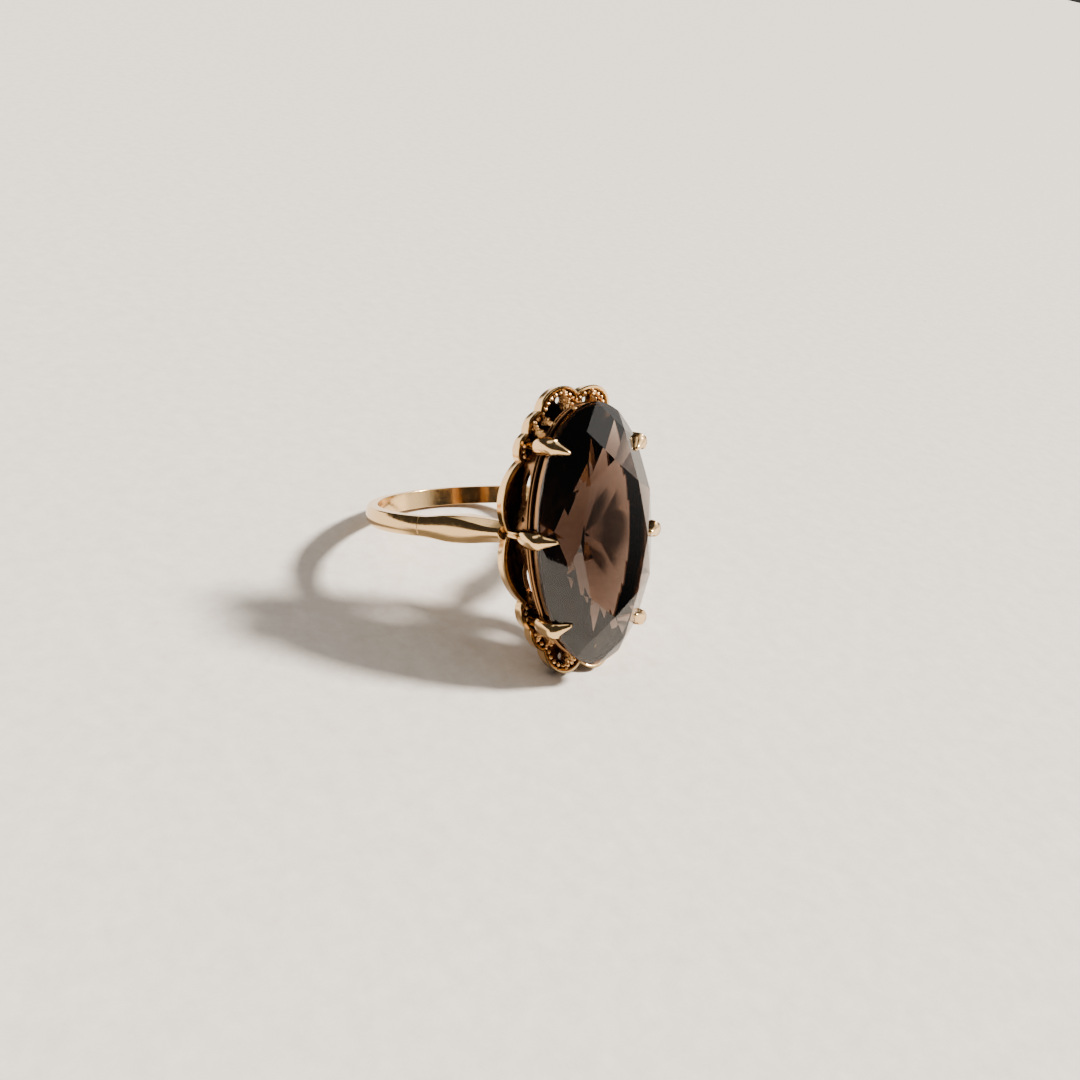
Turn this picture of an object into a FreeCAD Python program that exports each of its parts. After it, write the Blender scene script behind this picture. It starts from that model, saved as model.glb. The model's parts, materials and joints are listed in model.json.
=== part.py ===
"""Cocktail ring: an oval faceted stone held by six leaf-shaped claws on a scalloped, boat-shaped
gallery, with tapering shoulders and a bevelled band.

The ring frame has its origin at the centre of the finger hole: x runs out of the finger towards
the stone, z runs along the finger, and y runs across, with the left side at negative y.  Every
sub-part is drawn in that frame and then leant back by one Placement to the way the ring lies on a
table, on the back of the band and on the lobes at one end of the gallery.
"""
import FreeCAD, Part

import math
import os

from FreeCAD import Placement, Rotation, Vector

# Driving dimensions in millimetres and degrees.
DIMENSIONS = {
    "finger_radius": 8.7,
    "band_width": 1.45,
    "band_thickness": 0.95,
    "band_bevel": 0.2,
    "seam_angle": 62,
    "relief_angle": 38,
    "shoulder_width": 1.95,
    "shoulder_bevel": 0.35,
    "shoulder_inner_end": 4.1,
    "shoulder_outer_end": 5.2,
    "shoulder_end_level": 10.4,
    "shoulder_end_width": 1.5,
    "shoulder_bulge": 0.08,
    "stone_length": 18.0,
    "stone_width": 9.2,
    "girdle_level": 14.7,
    "girdle_thickness": 0.35,
    "crown_height": 2.1,
    "pavilion_depth": 3.9,
    "table_ratio": 0.59,
    "star_ratio": 0.5,
    "lower_girdle_ratio": 0.78,
    "rim_level": 11.0,
    "rim_sagitta": 1.5,
    "wall_height": 0.95,
    "wall_thickness": 0.28,
    "plate_thickness": 0.35,
    "opening_length": 15.6,
    "opening_width": 6.6,
    "plate_hole_radius": 0.25,
    "basket_length": 17.3,
    "basket_width": 8.7,
    "basket_thickness": 0.4,
    "basket_top": 13.75,
    "slot_length": 2.6,
    "slot_height": 0.75,
    "slot_place": 3.2,
    "slot_level": 12.2,
    "seat_length": 17.8,
    "seat_width": 9.0,
    "seat_wall": 0.6,
    "seat_top": 14.5,
    "side_hole_radius": 0.2,
    "side_hole_offset": 2.08,
    "bearer_width": 0.3,
    "bearer_level": 12.95,
    "bead_radius": 0.18,
    "bead_pitch": 0.42,
    "rib_width": 0.3,
    "rib_rise": 1.2,
    "rib_foot_drop": 0.1,
    "claw_width": 1.25,
    "claw_stem_width": 0.8,
    "claw_thickness": 0.62,
    "claw_foot_depth": 0.3,
    "claw_foot_inner": 0.2,
    "claw_foot_outer": 0.3,
    "claw_knee_drop": 2.3,
    "claw_knee_outer": 0.42,
    "claw_tip_width": 0.32,
    "claw_tip_height": 0.22,
    "claw_overlap": 0.9,
    "claw_spread": 6.1,
}

# Cusps and crests of the scalloped outline in one quarter of the plan, as (across, along the
# finger), from the middle of the long side to the middle of the end.
CUSPS = [(4.62, 0.0), (3.84, 4.91), (3.52, 6.84), (2.75, 8.33), (0.0, 9.48)]
CRESTS = [(5.05, 2.59), (4.08, 5.94), (3.4, 7.72), (1.15, 9.97)]

# Centres of the round holes in the back of the large end lobes, in the same quarter.
PLATE_HOLES = [(2.85, 7.2), (1.1, 9.0)]

MAIN_FACETS = 8

SIDES = {"left": -1, "right": 1}
ENDS = {"upper": 1, "lower": -1}
CLAW_ROWS = {"upper": 1, "middle": 0, "lower": -1}
ROWS_OF_SOLIDS = ("bead_row", "ribs")

os.makedirs("parts", exist_ok=True)
doc = FreeCAD.newDocument("cocktail_ring")
sheet = doc.addObject("Spreadsheet::Sheet", "dims")
for row, (alias, value) in enumerate(DIMENSIONS.items(), start=1):
    sheet.set("A%d" % row, alias)
    sheet.set("B%d" % row, str(value))
    sheet.setAlias("B%d" % row, alias)
doc.recompute()


def size(alias):
    """The value of one cell of the sheet."""
    return float(sheet.get(alias))


# ---------------------------------------------------------------- levels and placement


def boat_level(along, depth=0.0):
    """Level of the boat-shaped rim at a place along the finger, or of a layer under it."""
    sagitta = size("rim_sagitta")
    half = size("stone_length") / 2
    radius = (half**2 + sagitta**2) / (2 * sagitta)
    centre = size("rim_level") + radius
    return centre - math.sqrt((radius + depth) ** 2 - along**2)


def rest_placement():
    """The lean at which the back of the band and the end lobes stand on one plane."""
    band_low = size("band_width") / 2
    band_far = size("finger_radius") + size("band_thickness") - size("band_bevel")
    lobe_low = max(along for across, along in CRESTS)
    lobe_level = boat_level(lobe_low, size("wall_height"))
    lean = math.atan2(lobe_low - band_low, lobe_level + band_far)
    return Placement(Vector(0, 0, 0), Rotation(Vector(0, 1, 0), -math.degrees(lean)))


REST = rest_placement()
SUBPARTS = []

# ---------------------------------------------------------------- drawing helpers


def bind(obj, **cells):
    """Drive properties of an object by expressions over the sheet."""
    for name, expression in cells.items():
        obj.setExpression(name, expression)


def new_body(label, placement=REST):
    body = doc.addObject("PartDesign::Body", label)
    body.Label = label
    body.Placement = placement
    return body


def sketch_on(body, role, edges, name):
    """A sketch of the given edges on one of the body's own origin planes."""
    sketch = body.newObject("Sketcher::SketchObject", name)
    plane = [feature for feature in body.Origin.OriginFeatures if feature.Role == role][0]
    sketch.AttachmentSupport = [(plane, "")]
    sketch.MapMode = "FlatFace"
    sketch.addGeometry(edges, False)
    return sketch


def pad_both_ways(body, sketch, length):
    feature = body.newObject("PartDesign::Pad", "pad")
    feature.Profile = sketch
    feature.SideType = "Symmetric"
    bind(feature, Length=length)
    return feature


def pad_between(body, sketch, low, high):
    """A pad of a plan sketch between two levels above the centre of the finger."""
    bind(sketch, **{".AttachmentOffset.Base.z": low})
    feature = body.newObject("PartDesign::Pad", "pad")
    feature.Profile = sketch
    bind(feature, Length="%s - (%s)" % (high, low))
    return feature


def cut_through(body, sketch):
    """A pocket through the whole piece, to both sides of its sketch."""
    feature = body.newObject("PartDesign::Pocket", "cut")
    feature.Profile = sketch
    feature.SideType = "Symmetric"
    bind(feature, Length="4 * dims.stone_length")
    return feature


def line(start, end):
    return Part.LineSegment(Vector(*start, 0), Vector(*end, 0))


def polygon(points):
    return [line(a, b) for a, b in zip(points, points[1:] + points[:1])]


def arc(start, through, end):
    return Part.Arc(Vector(*start, 0), Vector(*through, 0), Vector(*end, 0))


def ellipse(length, width):
    """An ellipse on the plan, long along the finger."""
    return Part.Ellipse(Vector(0, length / 2, 0), Vector(width / 2, 0, 0), Vector(0, 0, 0))


def keep(obj):
    """List an object as a finished sub-part."""
    SUBPARTS.append(obj)
    return obj


def fit(label, blank, neighbours):
    """The blank with the room of its neighbours cut away, so that they meet face to face."""
    tool = doc.addObject("Part::Compound", label + "_neighbours")
    tool.Links = neighbours
    piece = doc.addObject("Part::Cut", label)
    piece.Label = label
    piece.Base = blank
    piece.Tool = tool
    return keep(piece)


def trim_to_boat(body, below=None, above=None):
    """Cut away what lies under or over layers at given depths below the boat-shaped rim."""
    reach = 0.7 * size("stone_length")
    beyond = 2 * size("stone_length")
    for depth, side in ((below, -beyond), (above, beyond)):
        if depth is None:
            continue
        start, middle, end = [(boat_level(z, depth), z) for z in (-reach, 0, reach)]
        edges = [
            arc(start, middle, end),
            line(end, (side, reach)),
            line((side, reach), (side, -reach)),
            line((side, -reach), start),
        ]
        cut_through(body, sketch_on(body, "XZ_Plane", edges, "boat"))


# ---------------------------------------------------------------- scalloped outline


def circles_cross(ring_a, ring_b, near):
    """The crossing of two circles that is nearer to a given point."""
    (centre_a, radius_a), (centre_b, radius_b) = ring_a, ring_b
    between = centre_b - centre_a
    gap = between.Length
    unit = between / gap
    along = (gap**2 + radius_a**2 - radius_b**2) / (2 * gap)
    aside = math.sqrt(radius_a**2 - along**2)
    foot = centre_a + unit * along
    offset = Vector(-unit.y, unit.x, 0) * aside
    target = Vector(*near, 0)
    best = min((foot + offset, foot - offset), key=lambda point: (point - target).Length)
    return (best.x, best.y)


def outline_lobes(inset):
    """The four lobes of one quarter, each as (start, crest, end), at a distance inside the outer
    outline."""
    rings = []
    for start, crest, end in zip(CUSPS, CRESTS, CUSPS[1:]):
        circle = arc(start, crest, end).toShape().Curve
        rings.append((circle.Center, circle.Radius - inset))
    over_side = (Vector(rings[0][0].x, -rings[0][0].y, 0), rings[0][1])
    over_end = (Vector(-rings[-1][0].x, rings[-1][0].y, 0), rings[-1][1])
    chain = [over_side] + rings + [over_end]
    cusps = [circles_cross(chain[i], chain[i + 1], cusp) for i, cusp in enumerate(CUSPS)]
    lobes = []
    for i, (centre, radius) in enumerate(rings):
        outward = (Vector(*CRESTS[i], 0) - centre).normalize()
        crest = centre + outward * radius
        lobes.append((cusps[i], (crest.x, crest.y), cusps[i + 1]))
    return lobes


def in_quarter(lobe, side, end):
    """A lobe of the first quarter moved to another quarter."""
    return [(side * across, end * along) for across, along in lobe]


def end_lobes(inset, end):
    """The six lobes round one end, in order from the right side to the left."""
    quarter = outline_lobes(inset)[1:]
    right = [in_quarter(lobe, 1, end) for lobe in quarter]
    left = [in_quarter(lobe, -1, end)[::-1] for lobe in quarter[::-1]]
    return right + left


def wall_edges(outer, inner):
    """A strip of wall between matching outer and inner lobes."""
    edges = [arc(*lobe) for lobe in outer + inner]
    edges.append(line(outer[0][0], inner[0][0]))
    edges.append(line(outer[-1][-1], inner[-1][-1]))
    return edges


# ---------------------------------------------------------------- stone


def ground(blank, points, middle):
    """The blank with one flat facet ground through three points."""
    first, second, third = points
    normal = (second - first).cross(third - first).normalize()
    if normal.dot(first - middle) < 0:
        normal = -normal
    reach = 3 * size("stone_length")
    wheel = Part.makeBox(reach, reach, reach, Vector(-reach / 2, -reach / 2, 0))
    wheel.Placement = Placement(first, Rotation(Vector(0, 0, 1), normal))
    return blank.cut(wheel)


def make_stone():
    """An oval brilliant.  Its facets are laid out on a unit circle and stretched to the oval:
    8 kites, 8 stars and 16 girdle facets above, 8 mains and 16 girdle facets below."""
    half_width = size("stone_width") / 2
    half_length = size("stone_length") / 2
    crown = size("crown_height")
    pavilion = size("pavilion_depth")
    table = size("table_ratio")
    upper_rim = size("girdle_level") + size("girdle_thickness") / 2
    lower_rim = size("girdle_level") - size("girdle_thickness") / 2
    middle = Vector(size("girdle_level"), 0, 0)
    step = math.tau / MAIN_FACETS
    star_height = size("star_ratio")
    star_radius = (1 - star_height * (1 - table)) / math.cos(step / 2)
    lower_depth = size("lower_girdle_ratio")
    lower_radius = (1 - lower_depth) / math.cos(step / 2)
    star_level = upper_rim + star_height * crown
    lower_level = lower_rim - lower_depth * pavilion

    def at(radius, azimuth, level):
        across = half_width * radius * math.cos(azimuth)
        along = half_length * radius * math.sin(azimuth)
        return Vector(level, across, along)

    outline = Part.Ellipse(at(1, math.pi / 2, 0), at(1, 0, 0), Vector(0, 0, 0))
    disc = Part.Face(Part.Wire(outline.toShape()))
    culet = Vector(lower_rim - pavilion, 0, 0)
    table_level = upper_rim + crown
    disc.translate(culet)
    stone = disc.extrude(Vector(table_level, 0, 0) - culet)
    on_tangent = 1 / math.cos(step)
    for k in range(MAIN_FACETS):
        main = k * step
        beside = main + step
        table_corner = at(table, main, table_level)
        kite = [at(1, main, upper_rim), at(on_tangent, beside, upper_rim), table_corner]
        pavilion_main = [at(1, main, lower_rim), at(on_tangent, beside, lower_rim), culet]
        star_tip = at(star_radius, main + step / 2, star_level)
        star = [table_corner, at(table, beside, table_level), star_tip]
        facets = [kite, pavilion_main, star]
        for edge in (main - step / 2, main + step / 2):
            upper_tip = at(star_radius, edge, star_level)
            lower_tip = at(lower_radius, edge, lower_level)
            facets.append([at(1, main, upper_rim), at(1, edge, upper_rim), upper_tip])
            facets.append([at(1, main, lower_rim), at(1, edge, lower_rim), lower_tip])
        for facet in facets:
            stone = ground(stone, facet, middle)
    feature = doc.addObject("Part::Feature", "stone")
    feature.Label = "stone"
    feature.Shape = stone
    feature.Placement = REST
    return keep(feature)


# ---------------------------------------------------------------- gallery


def make_seat_ring(stone):
    blank = new_body("seat_ring_blank")
    length, width, wall = size("seat_length"), size("seat_width"), size("seat_wall")
    edges = [ellipse(length, width), ellipse(length - 2 * wall, width - 2 * wall)]
    pad_between(blank, sketch_on(blank, "YZ_Plane", edges, "ovals"), "dims.basket_top", "dims.seat_top")
    return fit("seat_ring", blank, [stone])


def leaf_slot(level, place, length, height):
    """A pointed slot between two arcs, long along the finger."""
    tip_a, tip_b = (level, place - length / 2), (level, place + length / 2)
    return [
        arc(tip_a, (level - height / 2, place), tip_b),
        arc(tip_a, (level + height / 2, place), tip_b),
    ]


def make_basket(stone):
    """The oval collar, with a leaf slot and a small round hole on each side of the middle claws."""
    blank = new_body("basket_blank")
    length, width, wall = size("basket_length"), size("basket_width"), size("basket_thickness")
    edges = [ellipse(length, width), ellipse(length - 2 * wall, width - 2 * wall)]
    low = "dims.rim_level - dims.wall_height"
    pad_between(blank, sketch_on(blank, "YZ_Plane", edges, "ovals"), low, "dims.basket_top")
    trim_to_boat(blank, below=size("wall_height") - size("plate_thickness"))
    level, place = size("slot_level"), size("slot_place")
    across_basket = Vector(0, 0, 1)
    side_holes = []
    for end in ENDS.values():
        side_holes += leaf_slot(level, end * place, size("slot_length"), size("slot_height"))
        centre = Vector(level, end * (place - size("side_hole_offset")), 0)
        side_holes.append(Part.Circle(centre, across_basket, size("side_hole_radius")))
    cut_through(blank, sketch_on(blank, "XZ_Plane", side_holes, "side_holes"))
    return fit("basket", blank, [stone])


def make_base_plate():
    """The lobed back of the setting, open in the middle, with a round hole in each large end lobe."""
    body = new_body("base_plate")
    upright = Vector(0, 0, 1)
    edges = [ellipse(size("opening_length"), size("opening_width"))]
    for side in SIDES.values():
        for end in ENDS.values():
            for lobe in outline_lobes(size("wall_thickness")):
                edges.append(arc(*in_quarter(lobe, side, end)))
            for across, along in PLATE_HOLES:
                place = Vector(side * across, end * along, 0)
                edges.append(Part.Circle(place, upright, size("plate_hole_radius")))
    low = "dims.rim_level - dims.wall_height"
    pad_between(body, sketch_on(body, "YZ_Plane", edges, "plan"), low, "dims.basket_top")
    height = size("wall_height")
    trim_to_boat(body, below=height, above=height - size("plate_thickness"))
    return keep(body)


def make_wall(label, outer, inner, basket):
    """A strip of the scalloped wall, as high as the boat-shaped layer."""
    blank = new_body(label + "_blank")
    sketch = sketch_on(blank, "YZ_Plane", wall_edges(outer, inner), "plan")
    pad_between(blank, sketch, "dims.rim_level - dims.wall_height", "dims.basket_top")
    trim_to_boat(blank, below=size("wall_height"), above=0)
    return fit(label, blank, [basket])


def make_walls(basket):
    """Two six-lobed end frills, and four long scallops on the sides."""
    thickness = size("wall_thickness")
    walls = []
    for end_name, end in ENDS.items():
        outer, inner = end_lobes(0, end), end_lobes(thickness, end)
        walls.append(make_wall("end_frill_" + end_name, outer, inner, basket))
        for side_name, side in SIDES.items():
            outer = [in_quarter(outline_lobes(0)[0], side, end)]
            inner = [in_quarter(outline_lobes(thickness)[0], side, end)]
            walls.append(make_wall("side_scallop_%s_%s" % (side_name, end_name), outer, inner, basket))
    return walls


def make_beads():
    """Rows of granulation beads along the inside of the end lobes, just under the rim."""
    radius, pitch = size("bead_radius"), size("bead_pitch")
    for name, end in ENDS.items():
        beads = []
        for lobe in end_lobes(size("wall_thickness"), end):
            edge = arc(*lobe).toShape()
            shrink = 1 - radius / edge.Curve.Radius
            usable = edge.Length - 2 * size("rib_width") / shrink
            count = int(usable * shrink / pitch) + 1
            for k in range(count):
                along_edge = edge.Length / 2 + (k - (count - 1) / 2) * pitch / shrink
                on_wall = edge.valueAt(edge.getParameterByLength(along_edge))
                point = edge.Curve.Center + (on_wall - edge.Curve.Center) * shrink
                level = boat_level(point.y, 1.2 * radius)
                beads.append(Part.makeSphere(radius, Vector(level, point.x, point.y)))
        row = doc.addObject("Part::Feature", "bead_row_" + name)
        row.Label = "bead_row_" + name
        row.Shape = Part.makeCompound(beads)
        row.Placement = REST
        keep(row)


def make_ribs(neighbours):
    """Ribs from the cusps and crests of each end frill up to the basket."""
    half_length, half_width = size("basket_length") / 2, size("basket_width") / 2
    depth = size("wall_height") - size("plate_thickness")
    solder = 0.5 * size("basket_thickness")
    for name, end in ENDS.items():
        large_lobes = end_lobes(size("wall_thickness"), end)[1:-1]
        feet = [lobe[0] for lobe in large_lobes[1:]] + [lobe[1] for lobe in large_lobes]
        ribs = []
        for across, along in feet:
            reach = math.hypot(across / half_width, along / half_length)
            foot = Vector(0, across, along)
            inward = -foot.normalize()
            head = Vector(0, across, along) / reach + inward * solder
            foot = Vector(0, across, along) - inward * 0.5 * size("wall_thickness")
            low = Vector(boat_level(along, depth), 0, 0)
            high = Vector(boat_level(along, size("rib_foot_drop")), 0, 0)
            rise = Vector(size("rib_rise"), 0, 0)
            thick = Vector(0, -inward.z, inward.y) * size("rib_width")
            corners = [foot + low, foot + high, head + high + rise, head + low, foot + low]
            face = Part.Face(Part.makePolygon([corner - thick / 2 for corner in corners]))
            ribs.append(face.extrude(thick))
        blank = doc.addObject("Part::Feature", "ribs_blank_" + name)
        blank.Shape = Part.makeCompound(ribs)
        blank.Placement = REST
        fit("ribs_" + name, blank, neighbours)


def make_bearer_wire(claws):
    """A square wire round the basket, notched for the claws."""
    blank = new_body("bearer_wire_blank")
    length, width, wire = size("basket_length"), size("basket_width"), size("bearer_width")
    edges = [ellipse(length + 2 * wire, width + 2 * wire), ellipse(length, width)]
    ovals = sketch_on(blank, "YZ_Plane", edges, "ovals")
    pad_between(blank, ovals, "dims.bearer_level", "dims.bearer_level + dims.bearer_width")
    fit("bearer_wire", blank, claws)


# ---------------------------------------------------------------- claws


# Shape of a claw: where its back is fullest over the knee, where its knuckle and bend lie over
# the girdle, and how wide the leaf is on its way to the tip.
CLAW_BACK_RISE = 1.0
CLAW_BACK_FULLNESS = 0.05
CLAW_KNUCKLE_RISE = 0.1
CLAW_KNUCKLE_SHARE = 0.75
CLAW_BEND_SHARE = 0.75
CLAW_BEND_OUTER = 0.12
CLAW_TIP_SET_BACK = 0.1
LEAF_SWELL = (0.35, 0.95)
LEAF_FULL_RISE = 0.8
LEAF_SHOULDER = (0.3, 0.72)
LEAF_POINT_RISE = 0.3


def leaf_edges(half, below, knee, girdle, rise):
    """Outline of what is cut away beside one half of the leaf, to a side given by its sign."""
    stem = half * size("claw_stem_width") / 2
    full = half * size("claw_width") / 2
    end = half * size("claw_tip_width") / 2
    clear = 2 * full
    top, point = girdle + 2 * rise, girdle + rise + LEAF_POINT_RISE
    swell = (knee + LEAF_SWELL[0], full * LEAF_SWELL[1])
    fullest = (knee + LEAF_FULL_RISE, full)
    shoulder = (girdle + LEAF_SHOULDER[0] * rise, full * LEAF_SHOULDER[1])
    return [
        line((below, stem), (knee, stem)),
        arc((knee, stem), swell, fullest),
        arc(fullest, shoulder, (point, end)),
        line((point, end), (top, end)),
        line((top, end), (top, clear)),
        line((top, clear), (below, clear)),
        line((below, clear), (below, stem)),
    ]


def make_claw(label, row, side, neighbours):
    """A leaf-shaped claw, drawn with x out of the finger and y outward from the girdle."""
    along = row * size("claw_spread")
    half_width, half_length = size("stone_width") / 2, size("stone_length") / 2
    across = half_width * math.sqrt(1 - (along / half_length) ** 2)
    outward = math.degrees(math.atan2(along / half_length**2, side * across / half_width**2))
    turned = Rotation(Vector(1, 0, 0), outward)
    blank = new_body(label + "_blank", REST * Placement(Vector(0, side * across, along), turned))

    girdle = size("girdle_level") + size("girdle_thickness") / 2
    overlap, thick = size("claw_overlap"), size("claw_thickness")
    rise = overlap * size("crown_height") / (half_width * (1 - size("table_ratio")))
    tip = girdle + rise
    foot = boat_level(along, size("claw_foot_depth"))
    foot_in, foot_out = (foot, -size("claw_foot_inner")), (foot, size("claw_foot_outer"))
    knee = (girdle - size("claw_knee_drop"), size("claw_knee_outer"))
    back = (knee[0] + CLAW_BACK_RISE, thick + CLAW_BACK_FULLNESS)
    knuckle = (girdle + CLAW_KNUCKLE_RISE, CLAW_KNUCKLE_SHARE * thick)
    bend = (girdle + CLAW_BEND_SHARE * rise, CLAW_BEND_OUTER)
    tip_in = (tip, -overlap)
    tip_out = (tip + size("claw_tip_height"), -overlap + CLAW_TIP_SET_BACK)
    edges = [
        line(foot_in, foot_out),
        line(foot_out, knee),
        arc(knee, back, knuckle),
        arc(knuckle, bend, tip_out),
        line(tip_out, tip_in),
        line(tip_in, (girdle, 0)),
        line((girdle, 0), foot_in),
    ]
    pad_both_ways(blank, sketch_on(blank, "XY_Plane", edges, "side"), "dims.claw_width")
    for half in (1, -1):
        edges = leaf_edges(half, foot - 1, knee[0], girdle, rise)
        cut_through(blank, sketch_on(blank, "XZ_Plane", edges, "leaf"))
    return fit(label, blank, neighbours)


# ---------------------------------------------------------------- band


def on_circle(radius, angle, side=1):
    """A point of the band's own plane, at an angle from the stone's axis."""
    turn = math.radians(angle)
    return (radius * math.cos(turn), side * radius * math.sin(turn))


def make_shank_back():
    """The back of the band: a bevelled strip turned about the finger's axis."""
    body = new_body("shank_back")
    inner, outer = size("finger_radius"), size("finger_radius") + size("band_thickness")
    edge, half = outer - size("band_bevel"), size("band_width") / 2
    flat = half - size("band_bevel")
    right = [(-inner, half), (-edge, half), (-outer, flat)]
    left = [(across, -along) for across, along in right[::-1]]
    section = sketch_on(body, "XZ_Plane", polygon(right + left), "section")
    turn = body.newObject("PartDesign::Revolution", "turn")
    turn.Profile = section
    turn.ReferenceAxis = (section, ["V_Axis"])
    turn.Midplane = True
    bind(turn, Angle="360 - 2 * dims.seam_angle")
    return keep(body)


def make_shoulder(name, side, neighbours):
    """A shoulder from the seam up to the gallery, tapering in width, with a bevelled outer face."""
    blank = new_body("shoulder_%s_blank" % name)
    inner, outer = size("finger_radius"), size("finger_radius") + size("band_thickness")
    seam, relief = size("seam_angle"), size("relief_angle")
    top = size("shoulder_end_level")
    inner_end = (top, side * size("shoulder_inner_end"))
    outer_end = (top, side * size("shoulder_outer_end"))
    seam_in, seam_out = on_circle(inner, seam, side), on_circle(outer, seam, side)
    relief_point = on_circle(inner, relief, side)
    middle_in = on_circle(inner, (seam + relief) / 2, side)
    middle_out = [(a + b) / 2 for a, b in zip(seam_out, outer_end)]
    middle_out[1] += side * size("shoulder_bulge")
    edges = [
        arc(seam_in, middle_in, relief_point),
        line(relief_point, inner_end),
        line(inner_end, outer_end),
        arc(outer_end, middle_out, seam_out),
        line(seam_out, seam_in),
    ]
    pad_both_ways(blank, sketch_on(blank, "XY_Plane", edges, "side"), "dims.shoulder_width")
    widths = [
        (seam_in[0], size("band_width") / 2),
        (relief_point[0], size("shoulder_width") / 2),
        (top, size("shoulder_end_width") / 2),
    ]
    beyond = size("shoulder_width")
    for end in ENDS.values():
        side_edge = [(level, end * half) for level, half in widths]
        outside = side_edge + [(top, end * beyond), (seam_in[0], end * beyond)]
        cut_through(blank, sketch_on(blank, "XZ_Plane", polygon(outside), "taper"))
    doc.recompute()
    tapered = blank.Tip
    bevels = blank.newObject("PartDesign::Chamfer", "bevels")
    bevels.Base = (tapered, outer_edges(tapered.Shape, outer))
    bind(bevels, Size="dims.shoulder_bevel")
    return fit("shoulder_" + name, blank, neighbours)


def outer_edges(shape, radius):
    """Names of the long edges on the outer face of a shoulder."""
    shortest = 2 * size("band_thickness")
    names = []
    for number, edge in enumerate(shape.Edges, start=1):
        centre = edge.valueAt((edge.FirstParameter + edge.LastParameter) / 2)
        if edge.Length > shortest and math.hypot(centre.x, centre.y) > radius:
            names.append("Edge%d" % number)
    return names


# ---------------------------------------------------------------- assembly

stone = make_stone()
seat_ring = make_seat_ring(stone)
basket = make_basket(stone)
base_plate = make_base_plate()
walls = make_walls(basket)
make_beads()
make_ribs([basket] + walls)
mount = [stone, seat_ring, basket, base_plate] + walls
claws = []
for row_name, row in CLAW_ROWS.items():
    for side_name, side in SIDES.items():
        claws.append(make_claw("claw_%s_%s" % (side_name, row_name), row, side, mount))
make_bearer_wire(claws)
make_shank_back()
for side_name, side in SIDES.items():
    make_shoulder(side_name, side, [base_plate] + walls)

doc.recompute()
for obj in doc.Objects:
    if {"Invalid", "Error"} & set(obj.State):
        raise RuntimeError("%s did not build: %s" % (obj.Label, obj.State))
for piece in SUBPARTS:
    shape = piece.Shape
    if shape.isNull() or not shape.isValid() or not shape.Solids:
        raise RuntimeError("%s has no valid solid" % piece.Label)
    if len(shape.Solids) > 1 and not piece.Label.startswith(ROWS_OF_SOLIDS):
        raise RuntimeError("%s has come apart" % piece.Label)
    print(piece.Label, len(shape.Solids), "solids", round(shape.Volume, 3), "mm3")
for piece in SUBPARTS:
    piece.Shape.exportStep("parts/%s.step" % piece.Label)
print("lean", math.degrees(REST.Rotation.Angle), len(SUBPARTS), "sub-parts")
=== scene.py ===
"""Looks of a cocktail ring: a faceted smoky quartz in a scalloped gold gallery, on a plain pale floor.

Pieces are drawn in the ring's own frame in millimetres, with x out of the finger towards the stone,
y across (the left side is negative) and z along the finger.  TO_ROW leans them to the way the packed
ring rests, and turns them into metres.
"""

import json
import math
import random

import bmesh
import bpy
from mathutils import Matrix, Vector


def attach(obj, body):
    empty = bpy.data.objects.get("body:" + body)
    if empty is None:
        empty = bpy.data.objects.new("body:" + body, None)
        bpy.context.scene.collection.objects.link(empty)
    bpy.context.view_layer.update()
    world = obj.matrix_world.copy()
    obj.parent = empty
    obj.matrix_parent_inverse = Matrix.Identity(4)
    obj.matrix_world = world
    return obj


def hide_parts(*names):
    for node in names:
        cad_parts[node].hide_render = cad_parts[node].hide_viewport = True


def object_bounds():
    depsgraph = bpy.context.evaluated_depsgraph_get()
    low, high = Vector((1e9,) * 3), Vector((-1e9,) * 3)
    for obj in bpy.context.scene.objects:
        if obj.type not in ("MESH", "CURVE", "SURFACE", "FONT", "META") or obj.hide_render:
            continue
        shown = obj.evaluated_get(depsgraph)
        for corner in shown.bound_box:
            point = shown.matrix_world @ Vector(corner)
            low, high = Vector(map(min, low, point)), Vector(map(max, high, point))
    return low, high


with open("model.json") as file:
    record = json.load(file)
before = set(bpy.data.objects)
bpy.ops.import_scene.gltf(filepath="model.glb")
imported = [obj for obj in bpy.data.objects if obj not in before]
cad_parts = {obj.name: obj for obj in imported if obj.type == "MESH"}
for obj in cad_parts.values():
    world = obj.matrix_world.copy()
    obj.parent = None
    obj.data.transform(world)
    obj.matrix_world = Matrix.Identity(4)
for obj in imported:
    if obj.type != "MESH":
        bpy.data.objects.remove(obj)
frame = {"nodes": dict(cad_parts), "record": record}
cad_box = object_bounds()

MM = 0.001
FINGER_AXIS = Vector(frame["record"]["mounts"][0]["axis"])
LEAN = math.atan2(-FINGER_AXIS.x, FINGER_AXIS.z)
TO_ROW = Matrix.Scale(MM, 4) @ Matrix.Rotation(-LEAN, 4, "Y")

# Sizes in millimetres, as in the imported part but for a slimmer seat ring, taller leaf slots, fuller
# claws, two round bearer wires in place of a square one, a domed band, and more grains.
FINGER_RADIUS = 8.7
BAND_WIDTH = 1.45
BAND_THICKNESS = 0.95
BAND_BEVEL = 0.06
BAND_DOME = 0.2
BEVEL_DROP = 1.6
SEAM_ANGLE = 62
RELIEF_ANGLE = 38
SHOULDER_WIDTH = 1.95
SHOULDER_BULGE = 0.08
SHOULDER_END = {"level": 10.4, "inner": 4.1, "outer": 5.2, "width": 1.5, "bevel": 0.4, "dome": 0.14}
STONE_LENGTH = 18.0
STONE_WIDTH = 9.2
GIRDLE_LEVEL = 14.7
GIRDLE_THICKNESS = 0.35
CROWN_HEIGHT = 2.1
PAVILION_DEPTH = 3.9
TABLE_RATIO = 0.59
STAR_SHARE = 0.5
LOWER_SHARE = 0.78
RIM_LEVEL = 11.0
RIM_SAGITTA = 1.5
WALL_HEIGHT = 0.95
WALL_THICKNESS = 0.28
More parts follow.
